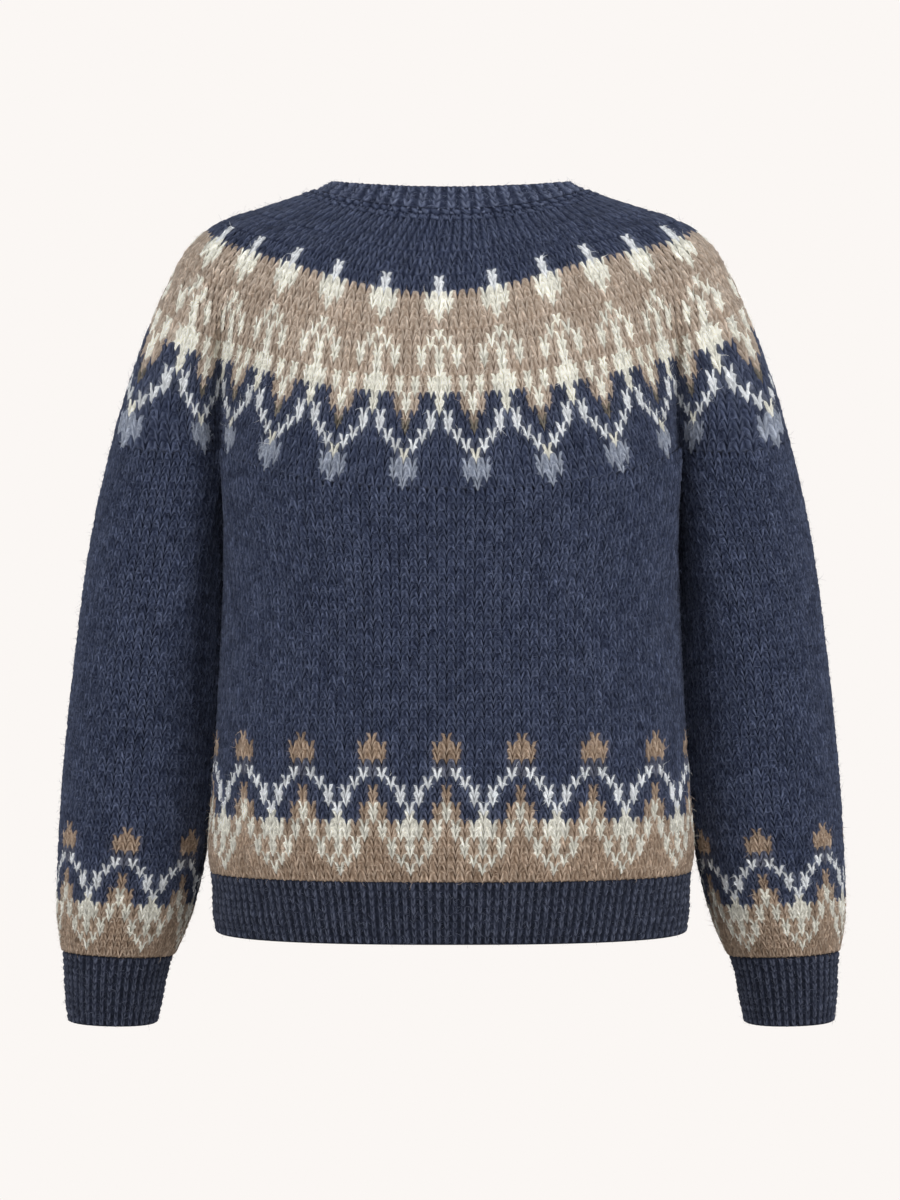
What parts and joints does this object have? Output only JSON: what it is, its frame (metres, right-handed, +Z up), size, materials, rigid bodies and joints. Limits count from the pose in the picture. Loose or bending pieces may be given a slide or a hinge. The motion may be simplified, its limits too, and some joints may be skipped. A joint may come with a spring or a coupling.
{
  "type": "fair isle jumper",
  "caption": "Round-yoke pullover in chunky brushed knit with geometric colourwork on yoke, body and sleeves, rib neckband, cuffs and hem, filled out as worn and hollow.",
  "frame": {"origin": "Middle of the neck opening, at the height where the wearer's shoulders carry the jumper", "axes": "+Z up, +Y the way the wearer faces, +X the wearer's right"},
  "size_m": [0.6056, 0.242, 0.6468],
  "materials": {
    "yoke_knit": "brushed stranded colourwork, taupe and cream into heathered navy, soft fuzzy halo, no gloss",
    "body_knit": "brushed stocking stitch, heathered navy, with a colourwork band at its lower edge, no gloss",
    "rib_knit": "one by one rib, heathered navy, soft and matt"
  },
  "bodies": {
    "root": {"neckband": "rib_knit", "yoke": "yoke_knit", "body_back": "body_knit", "body_front": "body_knit", "hem_rib": "rib_knit", "sleeve_right": "body_knit", "sleeve_left": "body_knit", "cuff_right": "rib_knit", "cuff_left": "rib_knit"}
  },
  "joints": []
}
